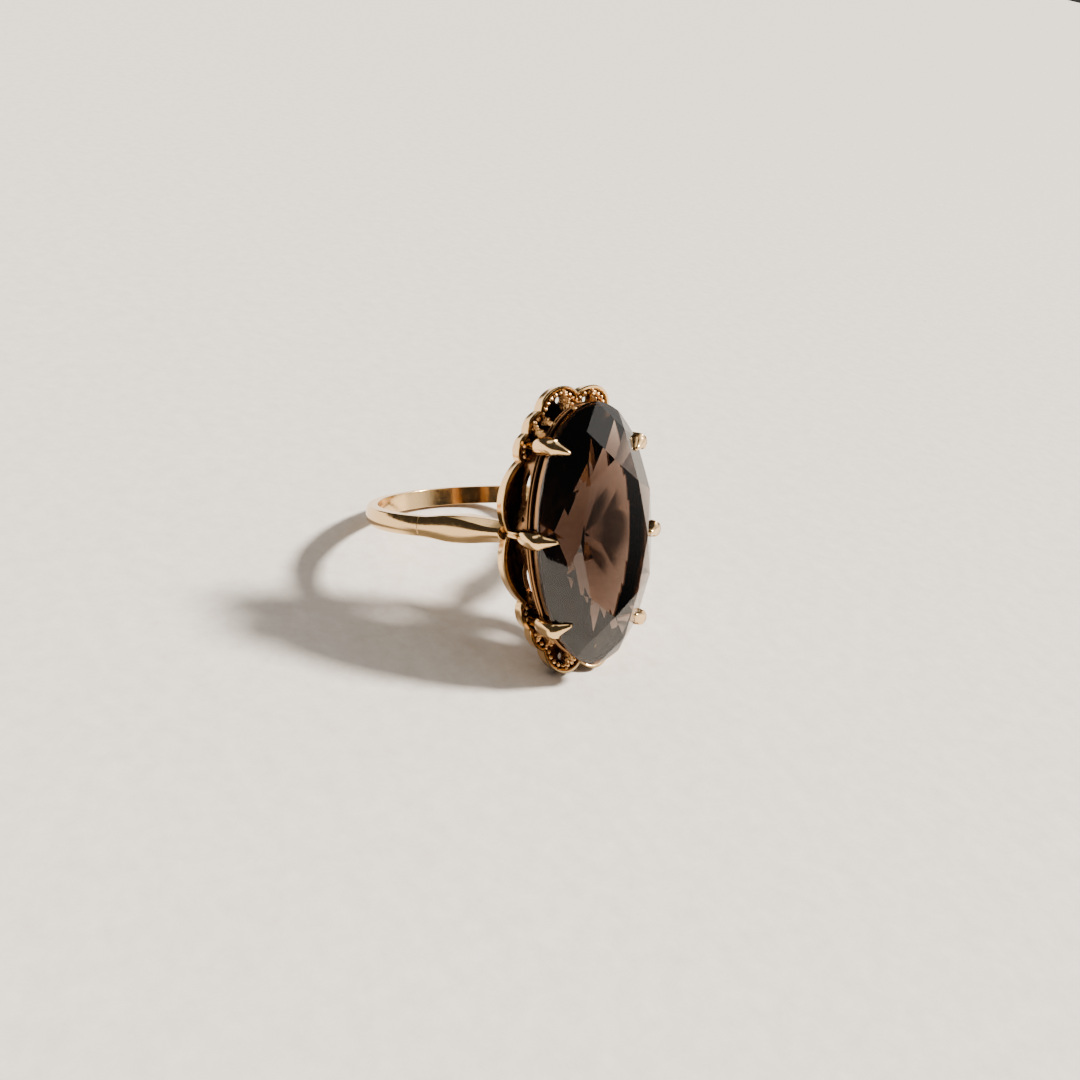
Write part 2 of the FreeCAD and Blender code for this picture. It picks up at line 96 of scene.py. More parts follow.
PLATE_THICKNESS = 0.35
BASKET = {"length": 17.3, "width": 8.7, "wall": 0.4, "top": 13.75}
SEAT = {"length": 17.55, "width": 8.78, "wall": 0.5, "top": 14.5}
SLOT = {"place": 3.2, "length": 2.6, "height": 0.9, "level": 12.2, "hole": 0.2}
HOLE_PLACE = SLOT["place"] - 0.8 * SLOT["length"]
CUTTER_NEAR = 2.2
CUTTER_FAR = 6.0
BEARER = {"levels": (13.1, 13.45), "radius": 0.11, "sides": 10}
CLAW_SPREAD = 6.1
CLAW_OVERLAP = 0.9
CLAW_SINK = 0.05
CLAW_RISE = 1.1
CLAW_END = {"inward": 0.09, "shrink": 0.6}
# The granulation inside each end lobe: the row under the rim, then the smaller grains lower down.
BEAD_ROWS = [
    {"inset": 0.17, "radius": 0.2, "pitch": 0.38, "depth": 0.18, "shift": 0.0},
    {"inset": 0.12, "radius": 0.15, "pitch": 0.3, "depth": 0.46, "shift": 0.5},
]
BEAD_SIZES = (0.86, 1.1)
BEAD_END_GAP = 0.5
BEAD_REACH = (0.02, 0.98)
RIB = {"width": 0.34, "foot_depth": 0.12, "head_depth": 0.1, "rise": 1.15}
RIB_FLANK = {"height_share": 0.8, "width_share": 0.7}
RIB_GRAIN = {"radius": 0.13, "pitch": 0.26, "sizes": (0.85, 1.15), "reach": 0.92}
CUSPS = [(4.62, 0.0), (3.84, 4.91), (3.52, 6.84), (2.75, 8.33), (0.0, 9.48)]
CRESTS = [(5.05, 2.59), (4.08, 5.94), (3.4, 7.72), (1.15, 9.97)]
SIDES = {"left": -1, "right": 1}
ENDS = {"upper": 1, "lower": -1}
ROWS = {"upper": 1, "middle": 0, "lower": -1}

# Edge bevels in millimetres, and the steps of the curved pieces.
EDGE = 0.03
CLAW_EDGE = 0.04
CROWN_STEPS = 8
SHANK_STEPS = 120
SHOULDER_STEPS = 40
SHOULDER_ARC_STEPS = 20
RIB_STEPS = 8
OVAL_STEPS = 160
LOBE_POINTS = 17
SIDE_POINTS = 33
BEAD_LINE_POINTS = 60
LEAF_POINTS = 15
HOLE_POINTS = 16
GIRDLE_STEPS = 128

# ---------------------------------------------------------------- mesh helpers


def add_piece(name, mesh, material, nodes, sharp_angle=38):
    """Put a mesh that is drawn in ring millimetres into the scene as a piece of the object."""
    mesh.transform(TO_ROW)
    mesh.shade_smooth()
    mesh.set_sharp_from_angle(angle=math.radians(sharp_angle))
    piece = bpy.data.objects.new(name, mesh)
    bpy.context.scene.collection.objects.link(piece)
    mesh.materials.append(material)
    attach(piece, "root")
    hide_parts(*nodes)
    return piece


def round_edges(piece, width, angle=32):
    """Soften the hard edges of a piece by a bevel of that width in millimetres."""
    bevel = piece.modifiers.new("rounded edges", "BEVEL")
    bevel.width = width * MM
    bevel.segments = 2
    bevel.limit_method = "ANGLE"
    bevel.angle_limit = math.radians(angle)
    bevel.miter_outer = "MITER_ARC"


def loft(sections, closed=False):
    """A mesh through equal closed sections, with its ends capped unless the path is closed."""
    count = len(sections[0])
    points = [point for section in sections for point in section]
    faces = []
    spans = len(sections) if closed else len(sections) - 1
    for i in range(spans):
        here = i * count
        there = (i + 1) % len(sections) * count
        for j in range(count):
            k = (j + 1) % count
            faces.append((here + j, here + k, there + k, there + j))
    if not closed:
        faces.append(tuple(range(count))[::-1])
        faces.append(tuple(range(len(points) - count, len(points))))
    mesh = bpy.data.meshes.new("loft")
    mesh.from_pydata(points, [], faces)
    return face_outward(mesh)


def face_outward(mesh):
    shape = bmesh.new()
    shape.from_mesh(mesh)
    bmesh.ops.recalc_face_normals(shape, faces=shape.faces)
    shape.to_mesh(mesh)
    shape.free()
    return mesh


def join(meshes):
    """Several meshes as one."""
    shape = bmesh.new()
    for mesh in meshes:
        shape.from_mesh(mesh)
        bpy.data.meshes.remove(mesh)
    joined = bpy.data.meshes.new("joined")
    shape.to_mesh(joined)
    shape.free()
    return joined


def circle_through(start, through, end):
    """Centre and radius of the circle through three points of a plane."""
    (ax, ay), (bx, by), (cx, cy) = start, through, end
    d = 2 * (ax * (by - cy) + bx * (cy - ay) + cx * (ay - by))
    a2, b2, c2 = ax**2 + ay**2, bx**2 + by**2, cx**2 + cy**2
    centre_x = (a2 * (by - cy) + b2 * (cy - ay) + c2 * (ay - by)) / d
    centre_y = (a2 * (cx - bx) + b2 * (ax - cx) + c2 * (bx - ax)) / d
    return (centre_x, centre_y), math.hypot(ax - centre_x, ay - centre_y)


def arc_points(start, through, end, count):
    """Points along the circle arc through three points of a plane."""
    (centre_x, centre_y), radius = circle_through(start, through, end)
    first, middle, last = (math.atan2(y - centre_y, x - centre_x) for x, y in (start, through, end))
    turn = (last - first) % math.tau
    if (middle - first) % math.tau > turn:
        turn -= math.tau
    angles = [first + turn * i / (count - 1) for i in range(count)]
    return [(centre_x + radius * math.cos(a), centre_y + radius * math.sin(a)) for a in angles]


def mix(a, b, share):
    return a + (b - a) * share


def smooth_step(low, high, value):
    share = max(0.0, min(1.0, (value - low) / (high - low)))
    return share * share * (3 - 2 * share)


def boat_level(along, depth=0.0):
    """Level of the boat-shaped rim at a place along the finger, or of a layer under it."""
    half = STONE_LENGTH / 2
    radius = (half**2 + RIM_SAGITTA**2) / (2 * RIM_SAGITTA)
    return RIM_LEVEL + radius - math.sqrt((radius + depth) ** 2 - along**2)


# ---------------------------------------------------------------- materials


class Nodes:
    """A short way to build a node tree: add a node, set its inputs, link outputs into it."""

    def __init__(self, tree):
        self.tree = tree
        tree.nodes.clear()

    def add(self, kind, settings=None, **inputs):
        node = self.tree.nodes.new(kind)
        for name, value in (settings or {}).items():
            setattr(node, name, value)
        for name, value in inputs.items():
            socket = node.inputs[int(name[1:]) if name[0] == "_" else name.replace("_", " ")]
            if isinstance(value, bpy.types.NodeSocket):
                self.tree.links.new(value, socket)
            else:
                socket.default_value = value
        return node

    def ramp(self, value, *stops):
        """A colour ramp; each stop is (position, colour or grey)."""
        node = self.add("ShaderNodeValToRGB", Fac=value)
        elements = node.color_ramp.elements
        while len(elements) < len(stops):
            elements.new(0.5)
        for element, (position, colour) in zip(elements, stops):
            element.position = position
            grey = isinstance(colour, (int, float))
            element.color = (colour, colour, colour, 1) if grey else (*colour, 1)
        return node.outputs["Color"]

    def multiply_add(self, value, factor, addend):
        settings = {"operation": "MULTIPLY_ADD"}
        return self.add("ShaderNodeMath", settings, _0=value, _1=factor, _2=addend).outputs[0]

    def noise(self, scale, detail=3.0, roughness=0.55):
        """Noise of that many features a metre, fixed to the object."""
        place = self.add("ShaderNodeTexCoord").outputs["Object"]
        node = self.add(
            "ShaderNodeTexNoise", Vector=place, Scale=scale, Detail=detail, Roughness=roughness
        )
        return node.outputs["Fac"]


def new_material(name):
    material = bpy.data.materials.new(name)
    material.use_nodes = True
    return material, Nodes(material.node_tree)


def gold(name, light, shaded_tone, roughness, bump, shade_reach, grain=0.0):
    """Yellow gold with painted shade: its colour darkens towards a shaded tone in its hollows, found by
    ambient occlusion in random patches, and it has fine scratches and dents.
    """
    material, nodes = new_material(name)
    # Painted shade: ambient occlusion darkens the colour in hollows, more in random patches, and makes it
    # a little rougher there.
    occlusion = nodes.add("ShaderNodeAmbientOcclusion", {"samples": 6}, Distance=shade_reach * MM)
    hollow_shade = nodes.ramp(occlusion.outputs["AO"], (0.25, 1.0), (0.8, 0.0))
    cloud = nodes.noise(900, 4.0)
    patches = nodes.ramp(cloud, (0.3, 0.55), (0.6, 1.0))
    painted_shade = nodes.add("ShaderNodeMath", {"operation": "MULTIPLY"}, _0=hollow_shade, _1=patches).outputs[0]
    tone = nodes.add("ShaderNodeMix", {"data_type": "RGBA"}, _6=(*light, 1), _7=(*shaded_tone, 1))
    nodes.tree.links.new(painted_shade, tone.inputs[0])
    wear = nodes.noise(2600, 5.0, 0.65)
    rough = nodes.add("ShaderNodeMapRange", Value=wear, _1=0.35, _2=0.7, _3=roughness, _4=roughness * 2.2)
    rougher = nodes.multiply_add(painted_shade, 0.25, rough.outputs[0])
    place = nodes.add("ShaderNodeTexCoord").outputs["Object"]
    stretched = nodes.add(
        "ShaderNodeMapping", Vector=place, Scale=(600, 9000, 4200), Rotation=(0.5, 0.3, 0.7)
    )
    scratches = nodes.add("ShaderNodeTexNoise", Vector=stretched.outputs[0], Scale=1.0, Detail=2.0)
    dents = nodes.noise(1400, 2.0)
    surface = nodes.multiply_add(scratches.outputs[0], 0.12, dents)
    if grain:
        grains = nodes.add("ShaderNodeTexVoronoi", Vector=place, Scale=grain)
        surface = nodes.multiply_add(grains.outputs[0], -2.5, surface)
    relief = nodes.add("ShaderNodeBump", Height=surface, Strength=bump, Distance=0.05 * MM)
    shader = nodes.add(
        "ShaderNodeBsdfPrincipled", Base_Color=tone.outputs[2], Metallic=1.0, Roughness=rougher
    )
    nodes.tree.links.new(relief.outputs[0], shader.inputs["Normal"])
    output = nodes.add("ShaderNodeOutputMaterial")
    nodes.tree.links.new(shader.outputs[0], output.inputs["Surface"])
    return material


def smoky_quartz():
    """Clear brown quartz: light is lost on its way through, with faint clouds and rubbed facets."""
    material, nodes = new_material("smoky quartz")
    wear = nodes.noise(1800, 4.0, 0.6)
    rough = nodes.add("ShaderNodeMapRange", Value=wear, _1=0.45, _2=0.8, _3=0.0, _4=0.05)
    tint = nodes.ramp(nodes.noise(260, 3.0), (0.35, (0.80, 0.72, 0.67)), (0.65, (0.90, 0.84, 0.80)))
    shader = nodes.add(
        "ShaderNodeBsdfPrincipled", Base_Color=tint, Roughness=rough.outputs[0], IOR=1.55,
        Transmission_Weight=1.0
    )
    smoke = nodes.add("ShaderNodeVolumeAbsorption", Color=(0.50, 0.41, 0.36, 1), Density=900.0)
    output = nodes.add("ShaderNodeOutputMaterial")
    nodes.tree.links.new(shader.outputs[0], output.inputs["Surface"])
    nodes.tree.links.new(smoke.outputs[0], output.inputs["Volume"])
    return material


BRIGHT_GOLD = (0.85, 0.57, 0.27)
# The near-black tone that the painted shade reaches in the deepest hollows.
GOLD_IN_SHADE = (0.05, 0.018, 0.006)
# Each gold below is darkened in its hollows by painted shade, out to the reach given for it.
polished = gold(
    "polished gold", BRIGHT_GOLD, (0.20, 0.08, 0.025), roughness=0.09, bump=0.12, shade_reach=0.8
)
# The scalloped walls get the widest and darkest painted shade, which stands for the shade in the channel
# between the walls and the basket.
walled = gold(
    "channelled gold", BRIGHT_GOLD, GOLD_IN_SHADE, roughness=0.09, bump=0.15, shade_reach=1.6
)
# Painted shade: a darker copy of the gold, whose own tone stands for the shade and dark reflections on
# the basket, bearer wires, seat ring and base plate.
shade_darkened = gold(
    "antiqued gold", (0.30, 0.16, 0.07), GOLD_IN_SHADE, roughness=0.12, bump=0.25, shade_reach=1.2
)
granulated = gold(
    "granulated gold", (0.88, 0.54, 0.24), (0.22, 0.07, 0.02),
    roughness=0.20, bump=0.6, shade_reach=0.45, grain=5200,
)

# ---------------------------------------------------------------- band


def band_section(inner, outer, half_width, bevel, dome):
    """A section of the band: flat inside, domed outside, with a filed bevel along both edges."""
    inner, outer = Vector((*inner, 0)), Vector((*outer, 0))
    out = (outer - inner).normalized()
    up = Vector((0, 0, 1))
    shares = [1 - 2 * i / CROWN_STEPS for i in range(CROWN_STEPS + 1)]
    crown = [outer - out * dome * share**2 + up * (half_width - bevel) * share for share in shares]
    edge = outer - out * (dome + BEVEL_DROP * bevel)
    rise = up * half_width
    profile = [inner + rise, edge + rise, *crown, edge - rise, inner - rise]
    return [tuple(point) for point in profile]


def on_circle(radius, angle, side):
    turn = math.radians(angle)
    return (radius * math.cos(turn), side * radius * math.sin(turn))


def make_shank_back():
    sections = []
    for i in range(SHANK_STEPS + 1):
        angle = mix(SEAM_ANGLE, 360 - SEAM_ANGLE, i / SHANK_STEPS)
        inner = on_circle(FINGER_RADIUS, angle, 1)
        outer = on_circle(FINGER_RADIUS + BAND_THICKNESS, angle, 1)
        sections.append(band_section(inner, outer, BAND_WIDTH / 2, BAND_BEVEL, BAND_DOME))
    piece = add_piece("shank_back", loft(sections), polished, ["shank_back"], sharp_angle=17)
    round_edges(piece, EDGE)


def make_shoulder(name, side):
    """A shoulder that widens from the seam, then narrows as its filed bevels open out."""
    outer_radius = FINGER_RADIUS + BAND_THICKNESS
    inner_end = (SHOULDER_END["level"], side * SHOULDER_END["inner"])
    outer_end = (SHOULDER_END["level"], side * SHOULDER_END["outer"])
    seam_out = on_circle(outer_radius, SEAM_ANGLE, side)
    middle = [(a + b) / 2 for a, b in zip(seam_out, outer_end)]
    bulged = (middle[0], middle[1] + side * SHOULDER_BULGE)
    outer_line = arc_points(seam_out, bulged, outer_end, SHOULDER_STEPS + 1)
    inner_line = []
    for i in range(SHOULDER_ARC_STEPS + 1):
        angle = mix(SEAM_ANGLE, RELIEF_ANGLE, i / SHOULDER_ARC_STEPS)
        inner_line.append(on_circle(FINGER_RADIUS, angle, side))
    relief = inner_line[-1]
    straight_steps = SHOULDER_STEPS - SHOULDER_ARC_STEPS
    for i in range(1, straight_steps + 1):
        share = i / straight_steps
        inner_line.append((mix(relief[0], inner_end[0], share), mix(relief[1], inner_end[1], share)))
    sections = []
    for i, (inner, outer) in enumerate(zip(inner_line, outer_line)):
        share = i / SHOULDER_STEPS
        wide = mix(BAND_WIDTH, SHOULDER_WIDTH, smooth_step(0.0, 0.45, share))
        width = mix(wide, SHOULDER_END["width"], smooth_step(0.5, 1.0, share))
        bevel = mix(BAND_BEVEL, SHOULDER_END["bevel"], smooth_step(0.3, 0.9, share))
        dome = mix(BAND_DOME, SHOULDER_END["dome"], share)
        sections.append(band_section(inner, outer, width / 2, bevel, dome))
    label = "shoulder_" + name
    piece = add_piece(label, loft(sections), polished, [label], sharp_angle=17)
    round_edges(piece, EDGE)


# ---------------------------------------------------------------- gallery


def circles_cross(ring_a, ring_b, near):
    """The crossing of two circles that is nearer to a given point."""
    (centre_a, radius_a), (centre_b, radius_b) = ring_a, ring_b
    between = centre_b - centre_a
    gap = between.length
    along = (gap**2 + radius_a**2 - radius_b**2) / (2 * gap)
    aside = math.sqrt(radius_a**2 - along**2)
    foot = centre_a + between / gap * along
    offset = Vector((-between.y, between.x)) / gap * aside
    return min((foot + offset, foot - offset), key=lambda point: (point - Vector(near)).length)


def outline_lobes(inset):
    """The four lobes of one quarter as (start, crest, end), at a distance inside the outline."""
    rings = []
    for start, crest, end in zip(CUSPS, CRESTS, CUSPS[1:]):
        centre, radius = circle_through(start, crest, end)
        rings.append((Vector(centre), radius - inset))
    over_side = (Vector((rings[0][0].x, -rings[0][0].y)), rings[0][1])
    over_end = (Vector((-rings[-1][0].x, rings[-1][0].y)), rings[-1][1])
    chain = [over_side] + rings + [over_end]
    cusps = [circles_cross(chain[i], chain[i + 1], cusp) for i, cusp in enumerate(CUSPS)]
    lobes = []
    for i, (centre, radius) in enumerate(rings):
        crest = centre + (Vector(CRESTS[i]) - centre).normalized() * radius
        lobes.append((tuple(cusps[i]), tuple(crest), tuple(cusps[i + 1])))
    return lobes


def in_quarter(lobe, side, end):
    return [(side * across, end * along) for across, along in lobe]


def end_lobes(inset, end):
    """The six lobes round one end, in order from the right side to the left."""
    quarter = outline_lobes(inset)[1:]
    right = [in_quarter(lobe, 1, end) for lobe in quarter]
    left = [in_quarter(lobe, -1, end)[::-1] for lobe in quarter[::-1]]
    return right + left


# A section of the wall as (share of the way from the outer to the inner face, depth under the rim,
# flare outward), from the foot of the outer face round the rim to the foot of the inner face.
WALL_SECTION = [
    (0.0, 0.95, -0.03), (0.0, 0.6, -0.01), (0.0, 0.3, 0.02), (0.0, 0.12, 0.05), (0.12, 0.03, 0.05),
    (0.5, 0.0, 0.03), (0.88, 0.03, 0.02), (1.0, 0.12, 0.0), (1.0, 0.95, 0.0),
]


def make_wall(label, lobes_out, lobes_in, points_each):
    """A strip of scalloped wall with a rounded, slightly flared rim."""
    outer_line, inner_line = [], []
    for out, inside in zip(lobes_out, lobes_in):
        skip = 1 if outer_line else 0
        outer_line += arc_points(*out, points_each)[skip:]
        inner_line += arc_points(*inside, points_each)[skip:]
    sections = []
    for (x_out, z_out), (x_in, z_in) in zip(outer_line, inner_line):
        outward = Vector((x_out - x_in, z_out - z_in)).normalized()
        section = []
        for share, depth, flare in WALL_SECTION:
            across = mix(x_out, x_in, share) + outward.x * flare
            along = mix(z_out, z_in, share) + outward.y * flare
            section.append((boat_level(along, depth), across, along))
        sections.append(section)
    return add_piece(label, loft(sections), walled, [label], sharp_angle=50)


def make_walls():
    for end_name, end in ENDS.items():
        make_wall("end_frill_" + end_name, end_lobes(0, end), end_lobes(WALL_THICKNESS, end), LOBE_POINTS)
        for side_name, side in SIDES.items():
            label = "side_scallop_%s_%s" % (side_name, end_name)
            outer = in_quarter(outline_lobes(0)[0], side, end)
            inner = in_quarter(outline_lobes(WALL_THICKNESS)[0], side, end)
            make_wall(label, [outer], [inner], SIDE_POINTS)


def bead(centre, radius):
    mesh = bpy.data.meshes.new("bead")
    shape = bmesh.new()
    bmesh.ops.create_icosphere(shape, subdivisions=2, radius=radius)
    shape.to_mesh(mesh)
    shape.free()
    mesh.transform(Matrix.Translation(Vector(centre)))
    return mesh


def beads_on_lobe(lobe, chance, inset, radius, pitch, depth, shift):
    """A row of beads on a line that runs inside a lobe."""
    centre, lobe_radius = circle_through(*lobe)
    centre = Vector(centre)
    shrink = 1 - inset / lobe_radius
    line = arc_points(*lobe, BEAD_LINE_POINTS)
    length = sum(math.dist(a, b) for a, b in zip(line, line[1:])) * shrink
    count = int((length - BEAD_END_GAP) / pitch) + 1
    beads = []
    for k in range(count):
        share = 0.5 + (k - (count - 1) / 2 + shift) * pitch / length
        if not BEAD_REACH[0] < share < BEAD_REACH[1]:
            continue
        wall = Vector(line[round(share * (BEAD_LINE_POINTS - 1))])
        point = centre + (wall - centre) * shrink
        size = radius * chance.uniform(*BEAD_SIZES)
        beads.append(bead((boat_level(point.y, depth), point.x, point.y), size))
    return beads


def make_bead_rows():
    """Granulation inside each end lobe: a row under the rim and smaller grains lower down."""
    chance = random.Random(7)
    for name, end in ENDS.items():
        grains = []
        for lobe in end_lobes(WALL_THICKNESS, end):
            for row in BEAD_ROWS:
                grains += beads_on_lobe(lobe, chance, **row)
        label = "bead_row_" + name
        add_piece(label, join(grains), granulated, [label])


def rib(foot, head, low, high_foot, high_head, width):
    """A wedge that stands on the base plate between a foot at the wall and a head at the basket."""
    foot, head = Vector(foot), Vector(head)
    aside = Vector((-(head - foot).y, (head - foot).x)).normalized() * width / 2
    sections = []
    for i in range(RIB_STEPS + 1):
        share = i / RIB_STEPS
        middle = foot.lerp(head, share)
        top = mix(high_foot, high_head, smooth_step(0, 1, share))
        flank = mix(low, top, RIB_FLANK["height_share"])
        inset = aside * RIB_FLANK["width_share"]
        sections.append([
            (low, *(middle + aside)), (flank, *(middle + inset)), (top, *middle),
            (flank, *(middle - inset)), (low, *(middle - aside)),
        ])
    return loft(sections)


def make_ribs():
    """Ribs from the cusps and crests of each end frill up to the basket, with grains on top."""
    half_length, half_width = BASKET["length"] / 2, BASKET["width"] / 2
    chance = random.Random(11)
    for name, end in ENDS.items():
        lobes = end_lobes(WALL_THICKNESS, end)[1:-1]
        feet = [lobe[0] for lobe in lobes[1:]] + [lobe[1] for lobe in lobes]
        parts = []
        for across, along in feet:
            reach = math.hypot(across / half_width, along / half_length)
            foot, head = Vector((across, along)), Vector((across, along)) / reach
            low = boat_level(along, WALL_HEIGHT - PLATE_THICKNESS)
            high_foot = boat_level(along, RIB["foot_depth"])
            high_head = boat_level(along, RIB["head_depth"]) + RIB["rise"]
            parts.append(rib(foot, head, low, high_foot, high_head, RIB["width"]))
            count = max(2, int((head - foot).length / RIB_GRAIN["pitch"]))
            for k in range(count + 1):
                share = k / count * RIB_GRAIN["reach"]
                spot = foot.lerp(head, share)
                top = mix(high_foot, high_head, smooth_step(0, 1, share))
                grain = RIB_GRAIN["radius"] * chance.uniform(*RIB_GRAIN["sizes"])
                parts.append(bead((top, spot.x, spot.y), grain))
        label = "ribs_" + name
        add_piece(label, join(parts), granulated, [label])


def oval_ring(profile):
    """A closed ring through ovals: the profile lists (length, width, level) of each."""
    sections = []
    for i in range(OVAL_STEPS):
        angle = math.tau * i / OVAL_STEPS
        section = []
        for length, width, level in profile:
            section.append((level, width / 2 * math.cos(angle), length / 2 * math.sin(angle)))
        sections.append(section)
    return loft(sections, closed=True)


def side_prism(outline, side):
    """A prism across one side of the basket, from an outline of (level, place along the finger)."""
    near, far = side * CUTTER_NEAR, side * CUTTER_FAR
    return loft([[(level, across, along) for level, along in outline] for across in (near, far)])


def leaf_cutter(place, side):
    """A prism with the outline of a pointed leaf."""
    level, half_length, half_height = SLOT["level"], SLOT["length"] / 2, SLOT["height"] / 2
    tip_a, tip_b = (level, place - half_length), (level, place + half_length)
    below = arc_points(tip_a, (level - half_height, place), tip_b, LEAF_POINTS)
    above = arc_points(tip_b, (level + half_height, place), tip_a, LEAF_POINTS)
    return side_prism(below[:-1] + above[:-1], side)


def hole_cutter(place, side):
    level, radius = SLOT["level"], SLOT["hole"]
    outline = []
    for i in range(HOLE_POINTS):
        angle = math.tau * i / HOLE_POINTS
        outline.append((level + radius * math.cos(angle), place + radius * math.sin(angle)))
    return side_prism(outline, side)


# A section of the basket as (share of the way from its foot to its top, inset from its outside).
BASKET_SECTION = [
    (0.0, 0.0), (0.35, 0.07), (0.6, 0.07), (1.0, 0.0), (1.0, BASKET["wall"]), (0.0, BASKET["wall"]),
]


def make_basket():
    """The oval collar that stands on the boat-shaped plate, waisted a little, with leaf slots and
    round holes cut through its sides."""
    sections = []
    for i in range(OVAL_STEPS):
        angle = math.tau * i / OVAL_STEPS
        section = []
        for share, inset in BASKET_SECTION:
            across = (BASKET["width"] / 2 - inset) * math.cos(angle)
            along = (BASKET["length"] / 2 - inset) * math.sin(angle)
            foot = boat_level(along, WALL_HEIGHT - PLATE_THICKNESS)
            section.append((mix(foot, BASKET["top"], share), across, along))
        sections.append(section)
    body = bpy.data.objects.new("basket_body", loft(sections, closed=True))
    cutters = []
    for side in SIDES.values():
        for end in ENDS.values():
            cutters.append(leaf_cutter(end * SLOT["place"], side))
            cutters.append(hole_cutter(end * HOLE_PLACE, side))
    tool = bpy.data.objects.new("basket_cutters", join(cutters))
    for helper in (body, tool):
        bpy.context.scene.collection.objects.link(helper)
    cut = body.modifiers.new("slots", "BOOLEAN")
    cut.operation = "DIFFERENCE"
    cut.object = tool
    cut.solver = "EXACT"
    bpy.context.view_layer.update()
    pierced = body.evaluated_get(bpy.context.evaluated_depsgraph_get())
    shaped = bpy.data.meshes.new_from_object(pierced)
    for helper in (body, tool):
        bpy.data.objects.remove(helper)
    piece = add_piece("basket", shaped, shade_darkened, ["basket"], sharp_angle=30)
    round_edges(piece, EDGE, angle=50)


def make_bearer_wires():
    """Two fine round wires round the basket, close together."""
    radius, sides = BEARER["radius"], BEARER["sides"]
    wires = []
    for level in BEARER["levels"]:
        profile = []
        for i in range(sides):
            angle = math.tau * i / sides
            out = 2 * (radius * 0.9 + radius * math.cos(angle))
            height = level + radius * math.sin(angle)
            profile.append((BASKET["length"] + out, BASKET["width"] + out, height))
        wires.append(oval_ring(profile))
    add_piece("bearer_wire", join(wires), shade_darkened, ["bearer_wire"])


def make_seat_ring():
    """The rim that the stone sits on, with a rounded outer edge."""
    length, width, wall = SEAT["length"], SEAT["width"], SEAT["wall"]
    low, top = BASKET["top"], SEAT["top"]
    profile = [
        (length - 0.3, width - 0.3, low), (length - 0.04, width - 0.04, low + 0.1),
        (length, width, mix(low, top, 0.5)), (length - 0.06, width - 0.06, top - 0.08),
        (length - 0.24, width - 0.24, top), (length - 0.5, width - 0.5, top - 0.06),
        (length - 2 * wall, width - 2 * wall, top - 0.55), (length - 2 * wall, width - 2 * wall, low),
    ]
    add_piece("seat_ring", oval_ring(profile), shade_darkened, ["seat_ring"])


# ---------------------------------------------------------------- claws


def stone_top(across, along):
    """Level of the crown over a place on the plan."""
    share = math.hypot(across / (STONE_WIDTH / 2), along / (STONE_LENGTH / 2))
    rise = CROWN_HEIGHT * (1 - max(TABLE_RATIO, min(1.0, share))) / (1 - TABLE_RATIO)
    return GIRDLE_LEVEL + GIRDLE_THICKNESS / 2 + rise


# Up a claw from its foot: level, inner face and keel outward from the girdle, and half width.
CLAW_STEM = [
    (11.0, -0.2, 0.25, 0.30), (11.8, -0.16, 0.30, 0.34), (12.5, -0.12, 0.38, 0.42),
    (12.85, -0.10, 0.50, 0.56), (13.2, -0.08, 0.64, 0.63), (13.7, -0.05, 0.74, 0.64),
    (14.3, -0.02, 0.78, 0.62), (14.8, 0.0, 0.76, 0.57), (15.15, 0.0, 0.62, 0.52),
]
# On the crown: share of the overlap, thickness and half width.
CLAW_TIP = [
    (0.12, 0.50, 0.48), (0.35, 0.42, 0.39), (0.6, 0.34, 0.30), (0.85, 0.26, 0.20), (1.0, 0.16, 0.12),
]
# A flank of a claw as (share of its half width, share of its rise to the keel).
CLAW_FLANK = [(1.0, 0.0), (1.04, 0.22), (0.94, 0.5), (0.7, 0.76), (0.36, 0.93)]


def make_claw(label, row, side):
    """A leaf-shaped claw with a keel along its back, bent over the girdle onto the crown."""
    along = row * CLAW_SPREAD
    half_width, half_length = STONE_WIDTH / 2, STONE_LENGTH / 2
    across = side * half_width * math.sqrt(1 - (along / half_length) ** 2)
    root = Vector((0, across, along))
    outward = Vector((0, across / half_width**2, along / half_length**2)).normalized()
    aside = Vector((0, -outward.z, outward.y))
    up = Vector((1, 0, 0))
    sections = []
    for level, inner, keel, half in CLAW_STEM:
        middle = root + up * level
        sections.append(claw_section(middle + outward * inner, middle + outward * keel, aside * half))
    lean = (outward + up * CLAW_RISE).normalized()
    for share, thick, half in CLAW_TIP:
        spot = root - outward * CLAW_OVERLAP * share
        level = stone_top(spot.y, spot.z)
        inner = Vector((level - CLAW_SINK, spot.y, spot.z))
        sections.append(claw_section(inner, inner + lean * (thick + CLAW_SINK), aside * half))
    last = sections[-1]
    centre = sum((Vector(point) for point in last), Vector()) / len(last)
    point_of_tip = centre - outward * CLAW_END["inward"]
    sections.append([tuple(Vector(point).lerp(point_of_tip, CLAW_END["shrink"])) for point in last])
    piece = add_piece(label, loft(sections), polished, [label], sharp_angle=60)
    round_edges(piece, CLAW_EDGE, angle=50)


def claw_section(inner, keel, half):
    """A leaf-shaped section: a flat inside, full rounded flanks and a soft keel."""
    rise = keel - inner
    left = [tuple(inner - half * out + rise * up) for out, up in CLAW_FLANK]
    right = [tuple(inner + half * out + rise * up) for out, up in CLAW_FLANK[::-1]]
    return left + [tuple(keel)] + right


# ---------------------------------------------------------------- stone


def grind(shape, points, middle):
    """Take away what lies beyond the plane through three points."""
    first, second, third = points
    normal = (second - first).cross(third - first).normalized()
    if normal.dot(first - middle) < 0:
        normal = -normal
    geometry = shape.verts[:] + shape.edges[:] + shape.faces[:]
    cut = bmesh.ops.bisect_plane(
        shape, geom=geometry, plane_co=first, plane_no=normal, clear_outer=True, dist=1e-5
    )
    rim = [item for item in cut["geom_cut"] if isinstance(item, bmesh.types.BMEdge)]
    if len(rim) > 2:
        bmesh.ops.contextual_create(shape, geom=rim)


